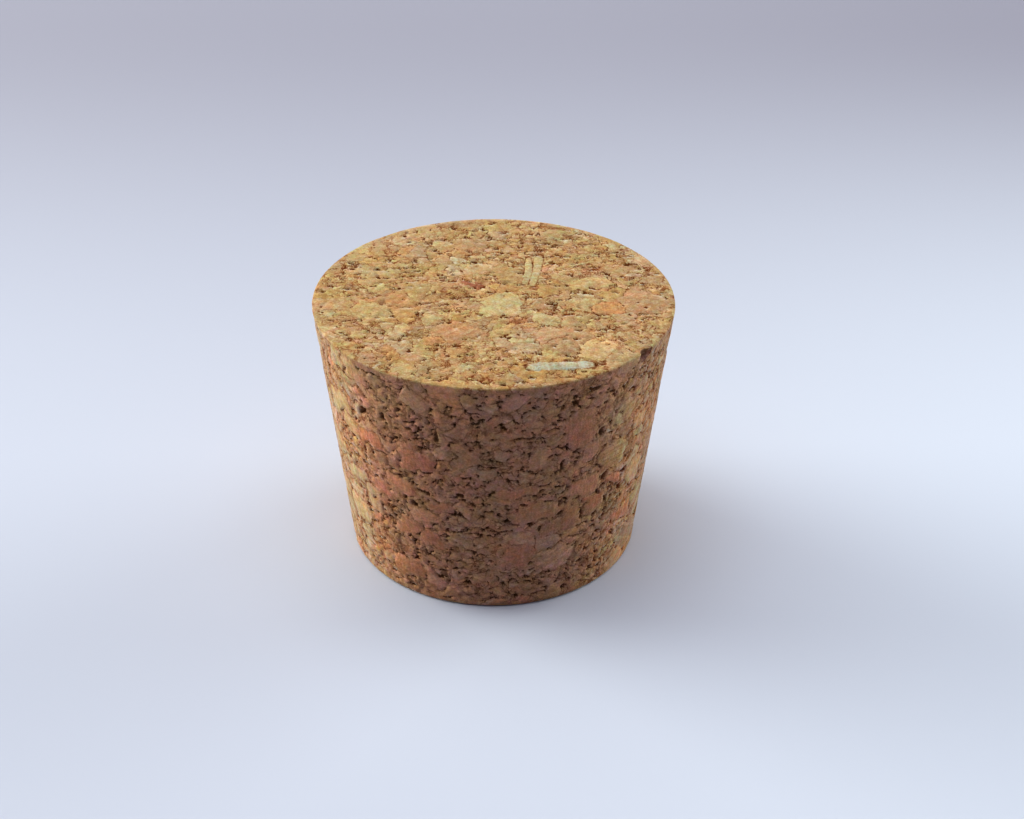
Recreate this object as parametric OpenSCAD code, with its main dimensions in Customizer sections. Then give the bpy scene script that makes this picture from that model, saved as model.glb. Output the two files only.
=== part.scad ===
// Tapered cork stopper: one solid plug cut from a pressed block of cork granules.
// It stands on its narrow end. The origin is the middle of that end, and +Z runs
// along the plug towards the wide end.

/* [Plug] */
// Diameter of the wide end, which stays outside the neck
top_d = 40; // [34:0.5:60]
// Diameter of the narrow end, which goes into the neck first
bottom_d = 33; // [12:0.5:60]
// Length from the narrow end to the wide end
height = 30.3; // [15:0.1:60]

/* [Sanded edges] */
// Radius of the wide end's edge
top_edge_r = 0.15; // [0.1:0.05:1]
// Radius of the narrow end's edge
bottom_edge_r = 0.5; // [0.1:0.05:1]

/* [Chipped rim] */
// Where the granule is missing from the wide end's rim, in degrees from +X
chip_angle = -37.5; // [-180:0.5:180]
// Radius of the hollow that the main granule left
chip_r = 0.9; // [0.7:0.05:2]
// Radius of the smaller hollow beside it
chip_side_r = 0.6; // [0.5:0.05:1.5]
// Distance between the two hollows, along the rim
chip_step = 0.9; // [0.2:0.05:1.5]
// How far the hollows are centred down from the wide end
chip_drop = 0.5; // [0.1:0.05:0.8]
// How far the hollows are centred out from the rim
chip_out = 0.3; // [0:0.05:0.3]

/* [Hidden] */
$fn = 96;

top_r = top_d / 2;
bottom_r = bottom_d / 2;
// Lean of the side away from the plug's axis
taper = atan((top_r - bottom_r) / height);

// Radius of the side at a height, before the edges are rounded
function side_r(z) = bottom_r + z * tan(taper);

// Centre of an edge's rounding, z up from the base and r in from the side
function edge_centre(z, r) = [side_r(z) - r / cos(taper), z];

// Where that rounding meets the side
function side_touch(z, r) = edge_centre(z, r) + r * [cos(taper), -sin(taper)];

// Half of the plug's section, with both edges rounded
module half_section() {
    low = edge_centre(bottom_edge_r, bottom_edge_r);
    high = edge_centre(height - top_edge_r, top_edge_r);
    polygon([
        [0, 0],
        [low.x, 0],
        side_touch(bottom_edge_r, bottom_edge_r),
        side_touch(height - top_edge_r, top_edge_r),
        [high.x, height],
        [0, height],
    ]);
    translate(low) circle(r = bottom_edge_r);
    translate(high) circle(r = top_edge_r);
}

// The space of a granule that broke out of the rim, and of the crumb beside it
module chip() {
    rotate([0, 0, chip_angle]) translate([top_r + chip_out, 0, height - chip_drop]) {
        sphere(r = chip_r);
        translate([0, chip_step, 0]) sphere(r = chip_side_r);
    }
}

module stopper() {
    color("burlywood")
        difference() {
            rotate_extrude() half_section();
            chip();
        }
}

stopper();
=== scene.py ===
import math
from functools import partialmethod

import bpy
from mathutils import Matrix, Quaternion, Vector


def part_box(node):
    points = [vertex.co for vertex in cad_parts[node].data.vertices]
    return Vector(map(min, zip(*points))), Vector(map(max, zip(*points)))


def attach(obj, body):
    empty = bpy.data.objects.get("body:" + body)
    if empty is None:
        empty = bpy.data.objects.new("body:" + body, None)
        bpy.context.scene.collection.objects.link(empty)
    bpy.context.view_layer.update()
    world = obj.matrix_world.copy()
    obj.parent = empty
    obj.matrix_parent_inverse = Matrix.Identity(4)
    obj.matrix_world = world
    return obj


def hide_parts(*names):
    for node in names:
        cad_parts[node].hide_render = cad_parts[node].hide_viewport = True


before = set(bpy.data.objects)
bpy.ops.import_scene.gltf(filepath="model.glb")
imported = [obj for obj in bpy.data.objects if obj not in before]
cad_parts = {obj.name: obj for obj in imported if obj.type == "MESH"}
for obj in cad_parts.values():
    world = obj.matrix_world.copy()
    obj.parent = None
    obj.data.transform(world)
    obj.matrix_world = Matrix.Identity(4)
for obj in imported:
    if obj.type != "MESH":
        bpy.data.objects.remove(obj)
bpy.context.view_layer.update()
plug_low, plug_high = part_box("stopper")

# --- The plug -----------------------------------------------------------------------
# One solid piece of pressed cork: bark granules and crumbs glued and pressed into a
# block, turned to a taper and sanded. The sanding opens the gaps between granules, and a
# granule with a crumb beside it has broken out of the wide rim.

MM = 0.001
WIDE_R = 20.0 * MM
NARROW_R = 16.5 * MM
LENGTH = plug_high.z - plug_low.z
WIDE_EDGE_R = 0.15 * MM
NARROW_EDGE_R = 0.5 * MM
GAP_DEPTH = 0.5 * MM
CORE_DEPTH = 1.5 * MM
MESH_STEP = 0.1 * MM
MOST_TRIANGLES = 190_000

# The granule and the crumb left two hollows where they broke out, parts of two balls. Each
# is a centre and a radius in mm, and the second lies a step along the rim.
NICK_TURN = math.radians(-37.5)
NICK_OUT = WIDE_R / MM + 0.3
NICK_UP = LENGTH / MM - 0.5
NICK_STEP = 0.9
NICK_BALLS = tuple(
    (
        (
            NICK_OUT * math.cos(NICK_TURN) - step * math.sin(NICK_TURN),
            NICK_OUT * math.sin(NICK_TURN) + step * math.cos(NICK_TURN),
            NICK_UP,
        ),
        radius,
    )
    for step, radius in ((0.0, 0.9), (NICK_STEP, 0.6))
)


class Field:
    """A value that varies over a surface, made by nodes; sums and products add nodes."""

    def __init__(self, socket):
        self.socket = socket
        self.tree = socket.id_data

    def combine(self, operation, *others, output=0):
        """The field put through a math node, of numbers or vectors as the field is."""
        is_number = self.socket.type == "VALUE"
        node = self.tree.nodes.new("ShaderNodeMath" if is_number else "ShaderNodeVectorMath")
        node.operation = operation
        inputs = [node.inputs[0], node.inputs[3]] if operation == "SCALE" else node.inputs
        for socket, value in zip(inputs, (self, *others)):
            feed(socket, value)
        return Field(node.outputs[output])

    __add__ = partialmethod(combine, "ADD")
    __sub__ = partialmethod(combine, "SUBTRACT")
    __mul__ = partialmethod(combine, "MULTIPLY")
    __truediv__ = partialmethod(combine, "DIVIDE")
    scaled = partialmethod(combine, "SCALE")
    dot = partialmethod(combine, "DOT_PRODUCT", output=1)
    length = partialmethod(combine, "LENGTH", output=1)
    unit = partialmethod(combine, "NORMALIZE")
    least = partialmethod(combine, "MINIMUM")
    most = partialmethod(combine, "MAXIMUM")
    above = partialmethod(combine, "GREATER_THAN")
    below = partialmethod(combine, "LESS_THAN")
    size = partialmethod(combine, "ABSOLUTE")
    root = partialmethod(combine, "SQRT")
    cosine = partialmethod(combine, "COSINE")
    sine = partialmethod(combine, "SINE")

    def __neg__(self):
        return self * -1.0

    def __rsub__(self, number):
        return -self + number

    def centred(self):
        """A random number or vector from 0 to 1, moved to lie evenly about 0."""
        return self - (0.5 if self.socket.type == "VALUE" else (0.5, 0.5, 0.5))

    def parts(self):
        """The three numbers of a vector."""
        node = self.tree.nodes.new("ShaderNodeSeparateXYZ")
        feed(node.inputs[0], self)
        return [Field(output) for output in node.outputs]

    def eased(self, start, end, low=0.0, high=1.0):
        """Rises smoothly from low where the field is start to high where it is end."""
        node = self.tree.nodes.new("ShaderNodeMapRange")
        node.interpolation_type = "SMOOTHSTEP"
        for socket, value in zip(node.inputs, (self, start, end, low, high)):
            feed(socket, value)
        return Field(node.outputs[0])

    def noise(self, size, detail=2.0, roughness=0.5):
        """(number, vector) of a cloudy noise whose patches are about size across."""
        node = self.tree.nodes.new("ShaderNodeTexNoise")
        feed(node.inputs["Vector"], self)
        node.inputs["Scale"].default_value = 1 / size
        node.inputs["Detail"].default_value = detail
        node.inputs["Roughness"].default_value = roughness
        return Field(node.outputs[0]), Field(node.outputs[1])

    def turned(self, angle):
        """The vector turned round the upright."""
        node = self.tree.nodes.new("ShaderNodeVectorRotate")
        node.rotation_type = "Z_AXIS"
        feed(node.inputs["Vector"], self)
        feed(node.inputs["Angle"], angle)
        return Field(node.outputs[0])


def feed(socket, value):
    """Links a field to a socket, or sets the socket to a plain value."""
    if isinstance(value, Field):
        value.tree.links.new(value.socket, socket)
    else:
        socket.default_value = value


def pick(chooser, first, second):
    """first where chooser is 1 and second where it is 0, for numbers."""
    return chooser * (first - second) + second


def pick_vector(chooser, first, second):
    """The same for vectors and colours."""
    return second + (first - second).scaled(chooser)


def vector(tree, *parts):
    """A vector or colour of three parts, each a field or a plain number."""
    node = tree.nodes.new("ShaderNodeCombineXYZ")
    for socket, value in zip(node.inputs, parts):
        feed(socket, value)
    return Field(node.outputs[0])


def joined(x, y, z):
    """The same where the first part is a field."""
    return vector(x.tree, x, y, z)


def cells(point, size):
    """(distance to the edge in mm, random vector, centre) of granules about size mm across."""
    found = []
    for feature in ("DISTANCE_TO_EDGE", "F1"):
        node = point.tree.nodes.new("ShaderNodeTexVoronoi")
        node.feature = feature
        feed(node.inputs["Vector"], point)
        node.inputs["Scale"].default_value = 1 / size
        found.append(node)
    to_edge, nearest = found
    return (
        Field(to_edge.outputs["Distance"]) * size,
        Field(nearest.outputs["Color"]),
        Field(nearest.outputs["Position"]),
    )


# The looks of granules that stand out: a tone from 0, dark, to 1, pale, then a warmth,
# more red, and a coolness, more blue.
STRAW = (0.86, -0.09, -0.02)
BUTTERY = (0.88, -0.04, -0.02)
SILVERY = (0.89, -0.22, 0.36)
TAN = (0.78, 0.02, -0.03)
OLIVE = (0.72, -0.02, -0.10)
OCHRE = (0.84, 0.01, -0.09)
AMBER = (0.68, 0.16, -0.04)
ROSY = (0.74, 0.15, 0.03)
RUSSET = (0.64, 0.20, 0.03)
UMBER = (0.66, 0.10, 0.00)
SMOKY = (0.60, -0.08, 0.10)
CRIMSON = (0.34, 0.22, 0.36)
BROKEN_AND_SHADED = (0.40, -0.17, 0.33)  # the rough cork inside the two hollows in the rim, partly its own colour and partly painted shade, darker and bluer
SANDED = (0.70, 0.0, 0.0)  # the colour that sanding rubs together where granules meet

# Granules on the wide end: the middle, from the plug's axis, and the length and width, all
# in mm, how far the length is turned from +X in degrees, how ragged, and the look.
END_GRANULES = (
    ((6.9, -15.2), (7.3, 1.7), 4, 0.25, SILVERY),
    ((4.8, 6.4), (7.9, 1.1), 83, 0.20, STRAW),
    ((3.8, 6.3), (7.4, 0.9), 85, 0.25, STRAW),
    ((3.2, -9.7), (2.8, 1.2), -10, 1.00, STRAW),
    ((9.9, 8.0), (3.8, 0.5), 29, 0.20, STRAW),
    ((0.7, -2.0), (4.7, 5.0), 10, 1.30, BUTTERY),
    ((5.8, -5.4), (3.0, 2.2), -30, 1.00, STRAW),
    ((12.5, -2.9), (3.2, 2.8), 0, 0.80, AMBER),
    ((-6.3, -9.8), (2.2, 1.9), 20, 0.80, AMBER),
    ((-2.4, 2.9), (2.0, 0.9), -25, 1.20, CRIMSON),
)

# Granules on the side: degrees round from the front, how high up, width and height in mm,
# and the look.
SIDE_GRANULES = (
    (-57, 28.8, 3.4, 3.0, STRAW),
    (-48, 28.4, 4.6, 3.0, TAN),
    (-50, 23.3, 1.8, 1.4, STRAW),
    (-61, 22.5, 5.0, 3.0, OCHRE),
    (-54, 20.3, 3.6, 2.4, OCHRE),
    (-45, 20.2, 3.4, 2.6, AMBER),
    (-55, 14.0, 4.0, 2.6, OCHRE),
    (-47, 12.6, 3.0, 2.6, OCHRE),
    (-46, 10.3, 2.6, 2.4, OCHRE),
    (-59, 8.5, 4.6, 3.4, OCHRE),
    (-46, 8.9, 2.0, 1.0, ROSY),
    (-40, 14.3, 4.0, 2.6, UMBER),
    (-41, 18.3, 2.0, 1.3, SMOKY),
    (-32, 15.4, 4.2, 2.6, ROSY),
    (-26, 19.2, 4.6, 2.8, RUSSET),
    (-31, 10.2, 3.8, 2.2, ROSY),
    (-22, 9.0, 2.6, 2.6, AMBER),
    (-33, 3.8, 3.8, 3.6, AMBER),
    (-18, 13.6, 3.0, 1.5, RUSSET),
    (-10, 13.9, 2.4, 1.4, TAN),
    (7, 16.3, 5.4, 1.8, AMBER),
    (13, 13.5, 6.0, 2.4, OLIVE),
    (15, 20.8, 2.6, 2.2, TAN),
    (28, 23.5, 3.6, 5.4, UMBER),
    (34, 20.2, 2.8, 3.0, ROSY),
    (31, 15.4, 4.4, 3.4, ROSY),
    (37, 12.6, 3.2, 1.8, RUSSET),
    (25, 11.3, 5.0, 2.2, UMBER),
    (10, 7.0, 3.4, 3.4, UMBER),
    (43, 23.0, 2.2, 2.2, STRAW),
    (46, 14.8, 2.4, 2.2, RUSSET),
    (57, 17.5, 3.4, 1.6, ROSY),
    (58, 21.2, 3.4, 2.4, OCHRE),
    (60, 13.6, 3.6, 3.0, OCHRE),
    (54, 8.5, 4.0, 2.6, AMBER),
)

# Gaps in the side where crumbs fell out, in the same way but without a look.
SIDE_GAPS = (
    (-46.5, 23.5, 1.2, 0.8),
    (-48.0, 18.4, 0.5, 0.5),
    (-52.0, 10.0, 0.8, 0.6),
    (-37.5, 24.0, 0.5, 1.0),
    (-28.0, 13.4, 0.9, 0.6),
    (-23.5, 15.6, 1.4, 0.5),
    (-18.5, 23.3, 0.6, 1.2),
    (-11.5, 15.7, 1.0, 0.8),
    (-1.5, 13.8, 1.4, 0.3),
    (8.0, 23.5, 2.6, 0.3),
    (22.3, 19.0, 0.4, 1.5),
    (22.2, 14.0, 0.4, 1.0),
    (25.5, 27.3, 0.8, 0.6),
    (32.0, 28.6, 1.2, 0.5),
    (32.5, 11.6, 0.6, 0.7),
    (31.5, 8.6, 1.2, 0.3),
    (36.5, 22.5, 0.9, 0.9),
    (41.0, 16.0, 1.1, 0.6),
    (51.0, 15.3, 1.3, 0.7),
    (48.5, 13.0, 0.7, 0.7),
)


def new_group(name, kind, inputs, outputs):
    """(a node group with the named sockets, the fields of its inputs, its last node)."""
    group = bpy.data.node_groups.new(name, kind)
    for in_out, sockets in (("INPUT", inputs), ("OUTPUT", outputs)):
        for title, sort in sockets.items():
            group.interface.new_socket(title, in_out=in_out, socket_type="NodeSocket" + sort)
    first = group.nodes.new("NodeGroupInput")
    last = group.nodes.new("NodeGroupOutput")
    return group, [Field(first.outputs[title]) for title in inputs], last


def laid(tree, group, values):
    """The output fields of a node group that is put into a tree and fed with values."""
    is_shader = tree.bl_idname == "ShaderNodeTree"
    node = tree.nodes.new("ShaderNodeGroup" if is_shader else "GeometryNodeGroup")
    node.node_tree = group
    for socket, value in zip(node.inputs, values):
        feed(socket, value)
    return [Field(output) for output in node.outputs]


LUMP_INPUTS = {
    "Point": "Vector",
    "Warp": "Vector",
    "Raggedness": "Float",
    "Middle": "Vector",
    "Size": "Vector",
    "Turn": "Float",
}


def lump(kind):
    """A node group for a blocky shape with ragged sides, turned round the upright.

    Inside is how far inside it a point is in mm, and less than 0 outside it.
    """
    group, inputs, last = new_group("blocky lump", kind, LUMP_INPUTS, {"Inside": "Float"})
    point, warp, raggedness, middle, size, turn = inputs
    half = size.scaled(0.5)
    place = (point + warp.scaled(raggedness) - middle).turned(-turn) / half
    squares = place * place
    wide, long, deep = half.parts()
    thinnest = wide.least(long).least(deep)
    inside = (1.0 - squares.dot(squares).combine("POWER", 0.25)) * thinnest
    feed(last.inputs["Inside"], inside)
    return group


GRANULE_LAYERS = {
    "Edge": "Float",
    "Tint": "Vector",
    "Grain": "Vector",
    "Lean": "Float",
    "Whole": "Float",
}


def noted_granule(kind):
    """A node group that lays one granule of a given look over the layers of the others."""
    sockets = {**LUMP_INPUTS, "Look": "Vector", **GRANULE_LAYERS}
    group, inputs, last = new_group("noted granule", kind, sockets, GRANULE_LAYERS)
    *shape, look, edge, tint, grain, lean, whole = inputs
    turn = shape[-1]
    (inside,) = laid(group, lump(kind), shape)
    within = inside.above(0.0)
    way = joined(turn.cosine(), turn.sine(), 0.0)
    made = (
        pick(within, inside, edge.least(inside.size())),
        pick_vector(within, look, tint),
        pick_vector(within, way, grain),
        lean * (1.0 - within),
        whole.most(within),
    )
    for title, field in zip(GRANULE_LAYERS, made):
        feed(last.inputs[title], field)
    return group


def on_side(turn, up):
    """The place in mm on the side, so many degrees round from the front and so high."""
    radius = (NARROW_R + (WIDE_R - NARROW_R) * up * MM / LENGTH) / MM
    angle = math.radians(turn)
    return (radius * math.sin(angle), -radius * math.cos(angle), up)


# How the granules lie. Many numbers differ on the ends, which were sawn across the block,
# and on the side: those are pairs, the ends' number first.
GRANULE_SIZES = (3.8, 2.5, 1.6, 1.0)  # mm, from whole granules down to crumbs
FLATTENING = 1.3  # the press squeezes the granules along the plug
WHOLE_SHARE = (0.22, 0.30)  # of the largest granules, on the ends and on the side
BROKEN_SHARES = (0.65, 0.40, 0.0)  # of each next size, broken to the size after it
WAVE_SIZE = 3.0  # mm across the broad waves of the seams
WAVE_BY = 2.4  # mm between the furthest that they carry a seam to one side and the other
STRAY_SIZE = 0.8  # the same for the ragged line of the seams
STRAY_BY = (1.2, 0.9)
FRAY_SIZE = 0.28  # and for their frayed edges
FRAY_BY = (0.50, 0.30)


def seams(point, end):
    """(how far the seams stray from straight, and the ragged and frayed parts of that)."""
    broad = point.noise(WAVE_SIZE, detail=1.0)[1].centred()
    ragged = point.noise(STRAY_SIZE, detail=3.0, roughness=0.6)[1].centred()
    frayed = point.noise(FRAY_SIZE, detail=1.0)[1].centred()
    warp = broad.scaled(WAVE_BY) + ragged.scaled(pick(end, *STRAY_BY))
    warp = warp + frayed.scaled(pick(end, *FRAY_BY))
    return warp, ragged, frayed


OUT_OF_REACH = 100.0  # mm, for the crumbs' edges where a granule is whole


def pieces(pressed, end):
    """(distance to the edge, random vector, lean, 1 in crumbs) of granules and crumbs."""
    edge, mark, centre = cells(pressed, GRANULE_SIZES[0])
    lean = (pressed - centre).dot(mark.centred())
    broken = mark.parts()[2].above(pick(end, *WHOLE_SHARE))
    for size, share_broken in zip(GRANULE_SIZES[1:], BROKEN_SHARES):
        next_edge, next_mark, centre = cells(pressed, size)
        lean = pick(broken, (pressed - centre).dot(next_mark.centred()), lean)
        edge = edge.least(next_edge + (1.0 - broken) * OUT_OF_REACH)
        mark = pick_vector(broken, (mark + next_mark).combine("FRACTION"), mark)
        crumb = broken
        broken = broken * next_mark.parts()[2].below(share_broken)
    return edge, mark, lean, crumb


# Whole granules differ little in tone. Crumbs are darker on the whole, and vary more. Most
# have the same colour, and about one in four is rosier.
CRUMB_TONES = (0.91, 0.57)  # the palest and the darkest
WHOLE_TONES = (0.855, 0.675)
USUAL_WARMTH = -0.04
ROSY_WARMTH = (0.06, 0.14)  # on the ends and on the side
ROSY_FROM = (0.5, 1.0)  # of a random number, where the rosier ones start and are rosiest
COOLNESSES = (0.18, -0.18)
SHUFFLES = (7.3, 3.1)  # they mix three random numbers into a fourth
GRAIN_STRETCH = (1.0, 1.0, 2.0)  # the growth lines lie rather flat under the press


def own_look(mark, crumb, end):
    """(tint, grain) of the granules and crumbs that have these random vectors."""
    shade, warmth, other = mark.parts()
    shuffled = (shade * SHUFFLES[0] + warmth * SHUFFLES[1] + other).combine("FRACT")
    tone = pick(crumb, pick(shade, *CRUMB_TONES), pick(shade, *WHOLE_TONES))
    rosy = warmth.eased(*ROSY_FROM, USUAL_WARMTH, pick(end, *ROSY_WARMTH))
    tint = joined(tone, rosy, pick(shuffled, *COOLNESSES))
    return tint, (mark.centred() * GRAIN_STRETCH).unit()


STRIP_SPACING = 6.5  # mm
STRIP_STRETCH = (1.0, 1.0, 0.4)  # the strips lie flat under the press
STRIP_REACH = 2.4  # mm from a strip's middle to its end
STRIP_LEAST = 0.25  # mm from the middle to a side of the narrowest
STRIP_WIDENS = 0.5  # mm more on the widest
STRIP_TONES = (0.93, 0.68)  # the palest and the darkest
STRIP_WARMTHS = (0.07, -0.07)


def with_strips(pressed, edge, tint, grain):
    """The layers with a long strip of bark here and there, and 1 within the strips."""
    _, mark, centre = cells(pressed, STRIP_SPACING)
    way = (mark.centred() * STRIP_STRETCH).unit()
    offset = pressed - centre
    along = offset.dot(way)
    across = (offset - way.scaled(along)).length()
    shade, width, _ = mark.parts()
    half_width_left = -across + width * STRIP_WIDENS + STRIP_LEAST
    inside = (STRIP_REACH - along.size()).least(half_width_left)
    within = inside.above(0.0)
    look = joined(pick(shade, *STRIP_TONES), pick(width, *STRIP_WARMTHS), 0.0)
    return (
        pick(within, inside, edge.least(inside.size())),
        pick_vector(within, look, tint),
        pick_vector(within, way, grain),
        within,
    )


NOTED_DEEP = 3.0  # mm in all that noted granules and gaps reach inwards and outwards
SIDE_RAGGEDNESS = 1.4
GAP_RAGGEDNESS = 0.7


def shape_on_side(point, warp, raggedness, turn, up, wide, tall):
    """The inputs of a lump that lies on the side, as the lists give it."""
    size = (wide, NOTED_DEEP, tall)
    return (point, warp, raggedness, on_side(turn, up), size, math.radians(turn))


def with_noted(kind, point, warp, layers):
    """The layers with the granules that stand out laid over them."""
    noted = noted_granule(kind)
    for (across, away), (wide, tall), turn, raggedness, look in END_GRANULES:
        middle = (across, away, LENGTH / MM)
        size = (wide, tall, NOTED_DEEP)
        shape = (point, warp, raggedness, middle, size, math.radians(turn))
        layers = laid(point.tree, noted, (*shape, look, *layers))
    for *place_and_size, look in SIDE_GRANULES:
        shape = shape_on_side(point, warp, SIDE_RAGGEDNESS, *place_and_size)
        layers = laid(point.tree, noted, (*shape, look, *layers))
    return layers


# Seams gape only here and there, mostly those that lie flat across the press.
STREAK_SIZE = 0.9  # mm
STREAK_SHRINK = ((0.6, 1.0), (1.4, 1.0), (1.0, 2.0))  # how much finer along X, Y and Z
LOOSE_FROM = (0.54, 0.66)  # the streaks' noise where granules start and end to hold badly
GAPE = (0.08, 0.12)  # mm to either side of a loose seam, on the ends and on the side

# Where small crumbs fell out there are pits, most of them in crowds, and hardly any in the
# strips and the noted granules.
PIT_SPACING = 0.8  # mm
PIT_STRAY = 0.9  # mm
PIT_FRAY = 0.4  # mm
PIT_SHRINK = ((0.65, 1.0), (1.0, 1.0), (1.0, 1.3))
PIT_RADII = (0.40, 0.25)  # mm at most, on the ends and on the side
PIT_CLOSES = 0.08  # mm off every radius, which closes the smallest pits
CROWDED_FROM = (0.44, 0.58)  # the streaks' noise where crowds of pits start and are full
PITS_IN_WHOLE = 0.4  # the size of pits in strips and noted granules, as a share


def shrink(end, pairs):
    """A vector from pairs of numbers, one for the ends and one for the side."""
    return joined(*(pick(end, *pair) for pair in pairs))


def open_cork(kind, point, seam_shape, end, edge, whole, firm):
    """(how far inside a hole in mm, less than 0 outside one, and how loose the cork is)."""
    warp, ragged, frayed = seam_shape
    streaks = (point * shrink(end, STREAK_SHRINK)).noise(STREAK_SIZE, detail=2.0)[0]
    loose = streaks.eased(*LOOSE_FROM)
    hole = loose * pick(end, *GAPE) - edge - firm

    scattered = point + ragged.scaled(PIT_STRAY) + frayed.scaled(PIT_FRAY)
    scattered = scattered * shrink(end, PIT_SHRINK)
    _, mark, centre = cells(scattered, PIT_SPACING)
    crowd = streaks.eased(*CROWDED_FROM) * pick(whole, PITS_IN_WHOLE, 1.0)
    radius = (mark.parts()[2] * pick(end, *PIT_RADII) - PIT_CLOSES) * crowd
    hole = hole.most(radius - (scattered - centre).length() - firm)

    gap = lump(kind)
    for place_and_size in SIDE_GAPS:
        shape = shape_on_side(point, warp, GAP_RAGGEDNESS, *place_and_size)
        hole = hole.most(laid(point.tree, gap, shape)[0])
    return hole, loose


END_SKIN = 0.25  # mm below the plane of an end that still look sawn across
RIM_HOLD = 0.25  # mm that gaps are narrower by at a rim, where sanding closes them
RIM_REACH = (0.2, 1.0)  # mm from a rim over which that fades
RUB_REACH = (0.15, 0.45)  # mm from a seam within which sanding rubs the colours together
LEFT_AT_SEAM = (0.4, 0.1)  # the share of a granule's own look at its seam
LEFT_INSIDE = (1.0, 0.9)  # and further inside
NICK_STAIN = 0.05  # mm round the two hollows in the rim that take their broken colour and painted shade as well

GRANULE_FIELDS = {
    "Edge": "Float",
    "Hole": "Float",
    "Loose": "Float",
    "End": "Float",
    "Tint": "Vector",
    "Grain": "Vector",
    "Lean": "Float",
}


def granules(kind):
    """A node group of the given kind that lays out the granules in the block.

    Edge is the distance in mm to the nearest seam between granules. Hole is how far
    inside an open hole the point is in mm, less than 0 outside. Loose is 1 where the
    granules hold badly. End is 1 on the sawn ends. Tint is each granule's tone, warmth
    and coolness, as in the looks above. Grain is the way from one of its growth lines to
    the next. Lean is how far its face leans inwards, in no set unit, and 0 in its middle.
    """
    group, (point,), last = new_group(
        "pressed granules", kind, {"Point": "Vector"}, GRANULE_FIELDS
    )
    point = point.scaled(1 / MM)
    x, y, z = point.parts()
    half_length = LENGTH / MM / 2
    from_middle = (z - half_length).size()
    end = from_middle.above(half_length - END_SKIN)
    out = joined(x, y, 0.0).length()
    side_r = z * ((WIDE_R - NARROW_R) / LENGTH) + NARROW_R / MM
    from_rim = joined(side_r - out, half_length - from_middle, 0.0).length()
    firm = from_rim.eased(*RIM_REACH, RIM_HOLD, 0.0)

    seam_shape = seams(point, end)
    warp = seam_shape[0]
    pressed = (point + warp) * (1.0, 1.0, FLATTENING)
    edge, mark, lean, crumb = pieces(pressed, end)
    tint, grain = own_look(mark, crumb, end)
    edge, tint, grain, strip = with_strips(pressed, edge, tint, grain)
    layers = with_noted(kind, point, warp, (edge, tint, grain, lean, strip))
    edge, tint, grain, lean, whole = layers

    reach = pick(end, *RUB_REACH)
    own = edge.eased(0.0, reach, pick(end, *LEFT_AT_SEAM), pick(end, *LEFT_INSIDE))
    tint = pick_vector(own, tint, vector(group, *SANDED))
    hole, loose = open_cork(kind, point, seam_shape, end, edge, whole, firm)
    # The hollows in the rim get the broken cork's colour with painted shade in it.
    for centre, radius in NICK_BALLS:
        nicked = (point - centre).length().below(radius + NICK_STAIN)
        tint = pick_vector(nicked, vector(group, *BROKEN_AND_SHADED), tint)
    made = (edge, hole, loose, end, tint, grain, lean)
    for title, field in zip(GRANULE_FIELDS, made):
        feed(last.inputs[title], field)
    return group


# Cork from its darkest marks to its palest granules: the darker, the redder.
TONES = (
    (0.05, (0.135, 0.044, 0.008)),
    (0.35, (0.250, 0.119, 0.039)),
    (0.55, (0.347, 0.185, 0.073)),
    (0.75, (0.470, 0.289, 0.130)),
    (0.88, (0.556, 0.389, 0.188)),
    (1.00, (0.650, 0.506, 0.272)),
)

# What darkens and lightens it, as steps in tone, on the ends and on the side where paired.
GROWTH_LINES = 3.0  # per mm
GROWTH_STEP = 0.28
CLOUD_SIZE = 0.8  # mm
CLOUD_STEP = (0.64, 0.52)
SPECK_SIZE = 0.18  # mm
SPECK_STEP = (0.62, 0.40)
GLUE_SIZE = 1.2  # mm across the places where seams took up glue and dust
GLUE_FROM = (0.46, 0.60)  # of a noise, where they start and are full
SEAM_REACH = (0.08, 0.12)  # mm from such a seam
SEAM_FULL = 0.02  # mm from it where it is darkest
SEAM_STEP = (0.50, 0.28)
PIT_SHADE_EDGE = (-0.03, 0.04)  # mm into a hole over which the painted shade darkens it
PIT_SHADE_STEP = (0.85, 0.40)
LOOSE_STEP = (0.0, 0.04)

# How far the colour strays to red and to blue, in clouds and in broader zones.
ZONE_SIZE = 4.0  # mm
RED_CLOUD = 0.70
RED_ZONE = 0.45
BLUE_CLOUD = 1.10
BLUE_ZONE = 0.55
END_CAST = (1.10, 1.08, 0.97)
SIDE_CAST = (1.09, 1.00, 0.97)

# Painted light and shade on the side: in two upright bands to the left and the right of the
# front, where the side lamps fall, the tones spread further and the dark marks are redder, a
# painted light; elsewhere the colours are evened and the dark marks greyed, a painted shade.
MIDDLE_TONE = 0.68
LIT_BAND_FRONT = 8.5  # mm that the lit bands lie in front of the axis
LIT_BAND_EDGE = (2.0, 7.5)  # mm from a lit band's middle over which the painted shade thickens
LIT_CONTRAST = 1.42
PALE_WARMTH = (0.45, -0.25)  # warmth with each step in tone, in the painted shade and in the lit bands
SHADE_WARMTH = 0.04
PALE_COOLNESS = 0.35
SHADE_COOLNESS = 0.08

# The side is rosier at the front left.
ROSY_ACROSS = -10.0  # mm
ROSY_AWAY = -15.5  # mm
ROSY_REACH = (7.0, 3.0)  # mm, from no rose to all of it
ROSY_STEP = 0.04
ROSY_RED = 0.09

BUMP_STRENGTH = (0.5, 1.0)  # on the ends and on the side
CLOUD_BUMP = 0.08  # mm
SPECK_BUMP = 0.04


def growth_lines(point_mm, grain):
    """A noise in stripes across the grain, for the yearly lines of the bark."""
    lines = point_mm.tree.nodes.new("ShaderNodeTexNoise")
    lines.noise_dimensions = "1D"
    feed(lines.inputs["W"], point_mm.dot(grain))
    lines.inputs["Scale"].default_value = GROWTH_LINES
    lines.inputs["Detail"].default_value = 2.0
    return Field(lines.outputs[0])


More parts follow.
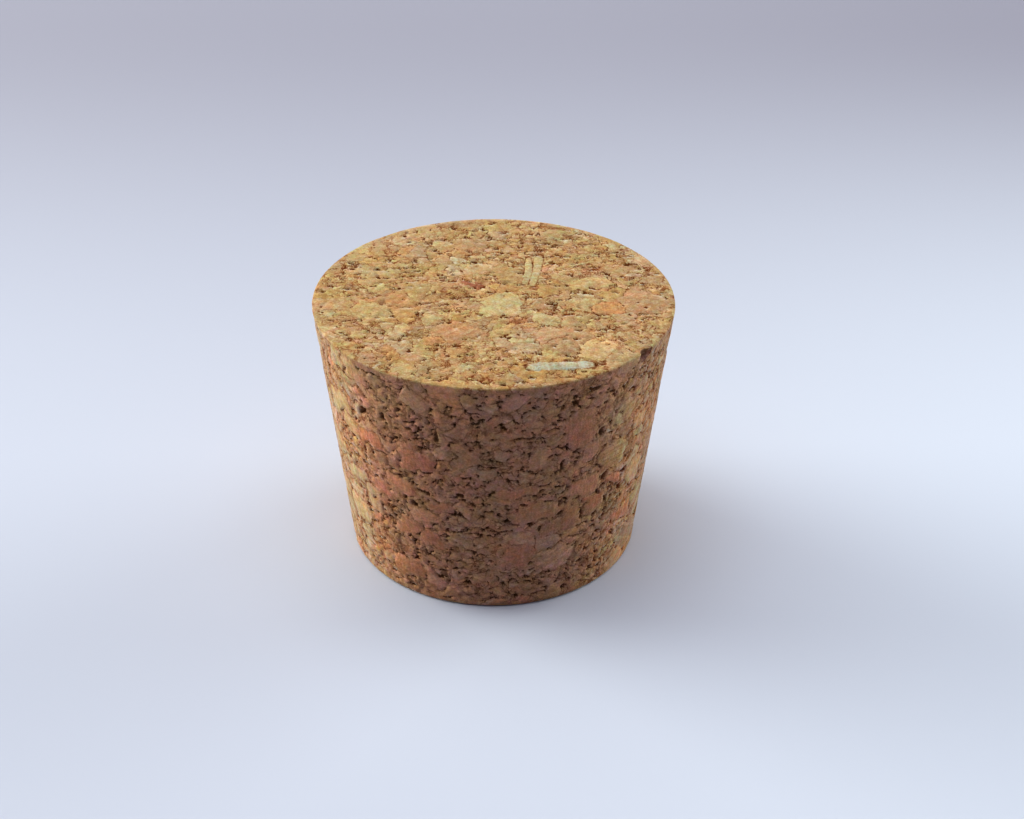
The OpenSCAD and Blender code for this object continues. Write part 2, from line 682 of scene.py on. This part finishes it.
def toned(tone):
    """The colour of cork of a tone."""
    ramp = tone.tree.nodes.new("ShaderNodeValToRGB")
    while len(ramp.color_ramp.elements) < len(TONES):
        ramp.color_ramp.elements.new(0.5)
    for element, (place, colour) in zip(ramp.color_ramp.elements, TONES):
        element.position = place
        element.color = (*colour, 1.0)
    feed(ramp.inputs[0], tone)
    return Field(ramp.outputs[0])


def cork():
    """Sanded cork: granules of different tones with growth lines, open gaps darkened with
    painted shade, and painted light and shade on the side.
    """
    material = bpy.data.materials.new("sanded pressed cork")
    material.use_nodes = True
    tree = material.node_tree
    shader = tree.nodes["Principled BSDF"]
    rest = tree.nodes.new("ShaderNodeAttribute")
    rest.attribute_name = "rest_point"
    point = Field(rest.outputs["Vector"])
    fields = laid(tree, granules("ShaderNodeTree"), [point])
    edge, hole, loose, end, tint, grain, _ = fields
    tone, warmth, coolness = tint.parts()
    point_mm = point.scaled(1 / MM)

    growth = growth_lines(point_mm, grain)
    clouds = point_mm.noise(CLOUD_SIZE, detail=3.0, roughness=0.65)
    speck = point_mm.noise(SPECK_SIZE, detail=1.0)[0]
    tone = tone + growth.centred() * GROWTH_STEP
    tone = tone + clouds[0].centred() * pick(end, *CLOUD_STEP)
    tone = tone + speck.centred() * pick(end, *SPECK_STEP)

    glued = point_mm.noise(GLUE_SIZE, detail=2.0)[0].eased(*GLUE_FROM)
    seam = edge.eased(pick(end, *SEAM_REACH), SEAM_FULL) * glued
    # Painted shade: the open holes are darkened in colour.
    pit = hole.eased(*PIT_SHADE_EDGE)
    tone = tone - seam * pick(end, *SEAM_STEP)
    tone = tone - pit * pick(end, *PIT_SHADE_STEP) - loose * pick(end, *LOOSE_STEP)

    across, away, _ = point_mm.parts()
    # Painted light and shade: 1 where the side has the painted shaded look, 0 in the painted
    # lit bands.
    painted_shade = (away + LIT_BAND_FRONT).size().eased(*LIT_BAND_EDGE) * (1.0 - end)
    contrast = pick(painted_shade.most(end), 1.0, LIT_CONTRAST)
    tone = (tone - MIDDLE_TONE) * contrast + MIDDLE_TONE
    from_rosy = joined(across - ROSY_ACROSS, away - ROSY_AWAY, 0.0).length()
    rosy = from_rosy.eased(*ROSY_REACH) * (1.0 - end)
    tone = tone - rosy * ROSY_STEP

    cork_colour = toned(tone)
    _, red_cloud, blue_cloud = clouds[1].parts()
    _, red_zone, blue_zone = point_mm.noise(ZONE_SIZE, detail=2.0)[1].parts()
    warmth = warmth + red_cloud.centred() * RED_CLOUD + red_zone.centred() * RED_ZONE
    coolness = coolness + blue_cloud.centred() * BLUE_CLOUD + blue_zone.centred() * BLUE_ZONE
    paler = tone - MIDDLE_TONE
    warmth = warmth * contrast + paler * pick(painted_shade, *PALE_WARMTH) - painted_shade * SHADE_WARMTH
    warmth = warmth + rosy * ROSY_RED
    coolness = coolness * contrast - paler * painted_shade * PALE_COOLNESS + painted_shade * SHADE_COOLNESS
    shift = joined(warmth.combine("EXPONENT"), 1.0, coolness.combine("EXPONENT"))
    side_cast = vector(tree, *SIDE_CAST)
    end_cast = vector(tree, *END_CAST)
    colour = cork_colour * shift * pick_vector(end, end_cast, side_cast)
    feed(shader.inputs["Base Color"], colour)
    shader.inputs["Roughness"].default_value = 0.85
    shader.inputs["Specular IOR Level"].default_value = 0.1
    shader.inputs["Sheen Weight"].default_value = 0.70
    shader.inputs["Sheen Roughness"].default_value = 0.20
    shader.inputs["Sheen Tint"].default_value = (0.82, 0.90, 0.74, 1.0)

    # The fine grain is too small for the mesh.
    bump = tree.nodes.new("ShaderNodeBump")
    bump.inputs["Distance"].default_value = MM
    feed(bump.inputs["Strength"], pick(end, *BUMP_STRENGTH))
    feed(bump.inputs["Height"], clouds[0] * CLOUD_BUMP + speck * SPECK_BUMP)
    tree.links.new(bump.outputs[0], shader.inputs["Normal"])
    return material


# How far the skin sinks, on the ends and on the side where paired. The sanding takes soft
# granules lower, rounds them off towards their seams, and leaves some leaning.
HOLLOW_EDGE = (-0.04, 0.12)  # mm into a hole over which it reaches the gaps' depth
SEAM_ROUND = (0.5, 0.0)  # mm from a seam, from no rounding to all of it
WORN_BY = (0.010 * MM, 0.028 * MM)
LEANS_BY = (0.02 * MM, 0.11 * MM)
LEANS_FROM = 0.01 * MM
TINY = 1e-6


def plug_tree(material):
    """Geometry Nodes that make the tapered plug and press its open gaps inwards."""
    tree = bpy.data.node_groups.new("tapered plug", "GeometryNodeTree")
    tree.interface.new_socket("Geometry", in_out="INPUT", socket_type="NodeSocketGeometry")
    names = ("Wide radius", "Narrow radius", "Length", "Wide edge", "Narrow edge", "Gap depth")
    for name in names:
        tree.interface.new_socket(name, in_out="INPUT", socket_type="NodeSocketFloat")
    for name in ("Steps across", "Steps along"):
        tree.interface.new_socket(name, in_out="INPUT", socket_type="NodeSocketInt")
    tree.interface.new_socket("Geometry", in_out="OUTPUT", socket_type="NodeSocketGeometry")
    given = tree.nodes.new("NodeGroupInput")
    wide_r, narrow_r, length, wide_edge, narrow_edge, gap_depth = (
        Field(given.outputs[name]) for name in names
    )

    block = tree.nodes.new("GeometryNodeMeshCube")
    block.inputs["Size"].default_value = (2.0, 2.0, 1.0)
    for axis in "XY":
        tree.links.new(given.outputs["Steps across"], block.inputs["Vertices " + axis])
    tree.links.new(given.outputs["Steps along"], block.inputs["Vertices Z"])

    # The square section becomes round: each square ring of points turns into a circle.
    place = Field(tree.nodes.new("GeometryNodeInputPosition").outputs[0])
    a, b, c = place.parts()
    a_is_long = a.size().above(b.size() - TINY)
    turn_a = b / a * (math.pi / 4)
    turn_b = a / b * (math.pi / 4)
    x = pick(a_is_long, a * turn_a.cosine(), b * turn_b.sine())
    y = pick(a_is_long, a * turn_a.sine(), b * turn_b.cosine())
    share = a.size().most(b.size())
    z = (c + 0.5) * length

    def side_r(height):
        return narrow_r + (wide_r - narrow_r) * height / length

    def core(radius, height, skin_low, skin_high):
        """The nearest point, out from the axis and up, of the plug less a thick skin."""
        inner_z = height.most(skin_low).least(length - skin_high)
        skin = pick(height.above(length * 0.5), skin_high, skin_low)
        return radius.least(side_r(inner_z) - skin), inner_z, skin

    radius = side_r(z) * share
    core_r, core_z, skin = core(radius, z, narrow_edge, wide_edge)
    out = joined(radius - core_r, 0.0, z - core_z).unit().parts()
    radius_round = core_r + out[0] * skin
    z_round = core_z + out[2] * skin
    way = joined(x, y, 0.0).unit()
    up = vector(tree, 0.0, 0.0, 1.0)
    rest = way.scaled(radius_round) + up.scaled(z_round)

    # Gaps are pressed towards a core well inside, so that walls at the rim don't cross.
    deep_r, deep_z, _ = core(radius_round, z_round, CORE_DEPTH, CORE_DEPTH)
    inward = (way.scaled(deep_r) + up.scaled(deep_z) - rest).unit()

    fields = laid(tree, granules("GeometryNodeTree"), [rest])
    edge, hole, _, end, _, grain, lean = fields
    hollow = hole.eased(*HOLLOW_EDGE) * gap_depth
    soft = (grain.parts()[2] + 1.0) * 0.5
    worn = soft + edge.eased(*SEAM_ROUND)
    relief = worn * pick(end, *WORN_BY)
    relief = relief + (lean * pick(end, *LEANS_BY) + LEANS_FROM).most(0.0)
    sunk = hollow + relief
    for centre, radius in NICK_BALLS:
        # The skin inside a ball is pressed in until it lies on the ball's far side.
        from_centre = rest - [part * MM for part in centre]
        ahead = from_centre.dot(inward)
        clear = from_centre.dot(from_centre) * -1.0 + (radius * MM) ** 2
        far_side = (ahead * ahead + clear).most(0.0).root() - ahead
        sunk = sunk.most(far_side * clear.above(0.0) + relief)
    moved = rest + inward.scaled(sunk)

    stored = tree.nodes.new("GeometryNodeStoreNamedAttribute")
    stored.data_type = "FLOAT_VECTOR"
    stored.domain = "POINT"
    stored.inputs["Name"].default_value = "rest_point"
    tree.links.new(block.outputs["Mesh"], stored.inputs["Geometry"])
    feed(stored.inputs["Value"], rest)
    pushed = tree.nodes.new("GeometryNodeSetPosition")
    tree.links.new(stored.outputs[0], pushed.inputs["Geometry"])
    feed(pushed.inputs["Position"], moved)
    realized = tree.nodes.new("GeometryNodeRealizeInstances")
    tree.links.new(pushed.outputs[0], realized.inputs[0])
    finished = tree.nodes.new("GeometryNodeSetMaterial")
    finished.inputs["Material"].default_value = material
    tree.links.new(realized.outputs[0], finished.inputs["Geometry"])
    last = tree.nodes.new("NodeGroupOutput")
    tree.links.new(finished.outputs[0], last.inputs[0])
    return tree


def set_inputs(modifier, **values):
    """Sets a modifier's named inputs by their sockets' identifiers."""
    sockets = {item.name: item.identifier for item in modifier.node_group.interface.items_tree}
    for name, given in values.items():
        modifier[sockets[name.replace("_", " ").capitalize()]] = given


def unroll(mesh):
    """Lays the skin out flat: the side in three strips, then both ends beside them."""
    margin = 1.0 * MM
    strips = 3
    mean_r = (WIDE_R + NARROW_R) / 2
    strip_turn = 2 * math.pi / strips
    strip_rise = LENGTH + 2 * margin
    sheet = strips * strip_rise
    ends_across = strip_turn * mean_r + 3 * margin + WIDE_R
    layout = mesh.uv_layers.new(name="OFBake")
    rest = [item.vector.copy() for item in mesh.attributes["rest_point"].data]
    for face in mesh.polygons:
        corners = [rest[index] for index in face.vertices]
        middle = sum(corners, Vector()) / len(corners)
        upper = min(corner.z for corner in corners) > LENGTH - WIDE_EDGE_R / 2
        lower = max(corner.z for corner in corners) < NARROW_EDGE_R / 4
        turn = math.atan2(middle.y, middle.x) % (2 * math.pi)
        strip = int(turn / strip_turn)
        for loop, corner in zip(face.loop_indices, corners):
            if upper:
                place = (ends_across + corner.x, margin + WIDE_R + corner.y)
            elif lower:
                place = (ends_across - corner.x, 3 * margin + 2 * WIDE_R + NARROW_R + corner.y)
            else:
                past = math.remainder(math.atan2(corner.y, corner.x) - turn, 2 * math.pi)
                along = (turn + past - strip * strip_turn) * mean_r
                place = (margin + along, strip * strip_rise + margin + corner.z)
            layout.data[loop].uv = (place[0] / sheet, place[1] / sheet)


cork_material = cork()
blank = bpy.data.objects.new("plug_blank", bpy.data.meshes.new("plug_blank"))
bpy.context.scene.collection.objects.link(blank)
shaping = blank.modifiers.new("shape", "NODES")
shaping.node_group = plug_tree(cork_material)
set_inputs(
    shaping,
    wide_radius=WIDE_R,
    narrow_radius=NARROW_R,
    length=LENGTH,
    wide_edge=WIDE_EDGE_R,
    narrow_edge=NARROW_EDGE_R,
    gap_depth=GAP_DEPTH,
    steps_across=round(math.pi / 2 * WIDE_R / MESH_STEP),
    steps_along=round(LENGTH / MESH_STEP),
)
bpy.context.view_layer.update()
graph = bpy.context.evaluated_depsgraph_get()
made = bpy.data.meshes.new_from_object(blank.evaluated_get(graph))
bpy.data.objects.remove(blank)
plug = bpy.data.objects.new("cork_plug", made)
bpy.context.scene.collection.objects.link(plug)
thin = plug.modifiers.new("thin", "DECIMATE")
thin.ratio = MOST_TRIANGLES / (2 * len(made.polygons))
bpy.context.view_layer.update()
graph = bpy.context.evaluated_depsgraph_get()
thinned = bpy.data.meshes.new_from_object(plug.evaluated_get(graph))
plug.modifiers.clear()
plug.data = thinned
# Thinning may leave a corner a hair outside the ends.
for vertex in thinned.vertices:
    vertex.co.z = min(max(vertex.co.z, plug_low.z), plug_high.z)
for face in thinned.polygons:
    face.use_smooth = True
unroll(thinned)
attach(plug, "root")
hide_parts("stopper")

# --- The paper ----------------------------------------------------------------------
# A large sheet of pale matt paper that the plug stands on. Its seen colour holds painted
# light: brightest at the front right, which also lightens the plug's long shadow there, and
# darkening to the far side. It gives the plug a soft, slightly blue light.

PAPER_SIZE = 3.0
PAPER_NEAR_RIGHT = (0.74, 0.83, 0.90)
PAPER_NEAR_LEFT = (0.62, 0.68, 0.75)
PAPER_FAR_RIGHT = (0.305, 0.310, 0.365)
PAPER_FAR_LEFT = (0.355, 0.365, 0.420)
PAPER_UNSEEN = (0.37, 0.34, 0.50)  # what it throws back on the plug
NEAR_FROM_LEFT = (-0.03, 0.11)
FAR_FROM_LEFT = (0.0, 0.18)
FROM_NEAR = (-0.01, 0.18)


def pale_paper():
    """Matt paper with painted light: its seen brightness changes evenly from one side to the
    other.
    """
    material = bpy.data.materials.new("pale paper")
    material.use_nodes = True
    tree = material.node_tree
    shader = tree.nodes["Principled BSDF"]
    place = Field(tree.nodes.new("ShaderNodeTexCoord").outputs["Object"])
    across, away, _ = place.parts()
    near_right = vector(tree, *PAPER_NEAR_RIGHT)
    near_left = vector(tree, *PAPER_NEAR_LEFT)
    far_left = vector(tree, *PAPER_FAR_LEFT)
    far_right = vector(tree, *PAPER_FAR_RIGHT)
    unseen = vector(tree, *PAPER_UNSEEN)
    near = pick_vector(across.eased(*NEAR_FROM_LEFT), near_right, near_left)
    far = pick_vector(across.eased(*FAR_FROM_LEFT), far_right, far_left)
    # Painted light: bright at the front right, darkening to the far side.
    shown = pick_vector(away.eased(*FROM_NEAR), far, near)
    seen = Field(tree.nodes.new("ShaderNodeLightPath").outputs["Is Camera Ray"])
    feed(shader.inputs["Base Color"], pick_vector(seen, shown, unseen))
    shader.inputs["Roughness"].default_value = 0.9
    shader.inputs["Specular IOR Level"].default_value = 0.2
    return material


bpy.ops.mesh.primitive_plane_add(size=PAPER_SIZE)
paper = bpy.context.object
paper.name = "paper"
paper.data.materials.append(pale_paper())

# --- The light ----------------------------------------------------------------------
# A dim room, a window high up on the left, low light from both sides a little behind the
# plug, and a pale ceiling over it.

world = bpy.data.worlds.new("soft room")
bpy.context.scene.world = world
world.use_nodes = True
room = world.node_tree.nodes["Background"]
room.inputs["Color"].default_value = (1.0, 0.93, 1.25, 1.0)
room.inputs["Strength"].default_value = 0.108

LAMP_DISTANCE = 0.9


def lamp(name, turn, rise, size, power, colour=(1.0, 1.0, 1.0)):
    """A round soft lamp that faces the plug, turned from +X and raised by degrees."""
    light = bpy.data.lights.new(name, "AREA")
    light.shape = "DISK"
    light.size = size
    light.energy = power
    light.color = colour
    made = bpy.data.objects.new(name, light)
    across = math.cos(math.radians(rise))
    way = Vector((
        across * math.cos(math.radians(turn)),
        across * math.sin(math.radians(turn)),
        math.sin(math.radians(rise)),
    ))
    made.location = way * LAMP_DISTANCE
    made.rotation_euler = way.to_track_quat("Z", "Y").to_euler()
    made.visible_camera = False
    bpy.context.scene.collection.objects.link(made)


lamp("left_window", turn=150, rise=64, size=1.1, power=3.5)
lamp("left_low", turn=159, rise=11, size=0.66, power=13.7)
lamp("right_low", turn=25, rise=12, size=0.72, power=8.0)
lamp("ceiling", turn=270, rise=84, size=0.9, power=2.4, colour=(1.0, 0.96, 1.10))

# --- The camera ---------------------------------------------------------------------
# It stands in front of the plug and looks down on it, turned a hair about its own axis.

CAMERA_PLACE = (0.0, -0.17125, 0.12068)
CAMERA_TARGET = Vector((0.0021, 0.0, 0.01567))
CAMERA_ROLL = math.radians(0.45)

camera = bpy.data.objects.new("camera", bpy.data.cameras.new("camera"))
camera.location = CAMERA_PLACE
aim = (CAMERA_TARGET - camera.location).to_track_quat("-Z", "Y")
camera.rotation_euler = (aim @ Quaternion((0, 0, 1), CAMERA_ROLL)).to_euler()
camera.data.sensor_width = 36.0
camera.data.lens = 61.6
camera.data.clip_start = 0.01
bpy.context.scene.collection.objects.link(camera)
bpy.context.scene.camera = camera
bpy.context.scene.view_settings.view_transform = "Standard"
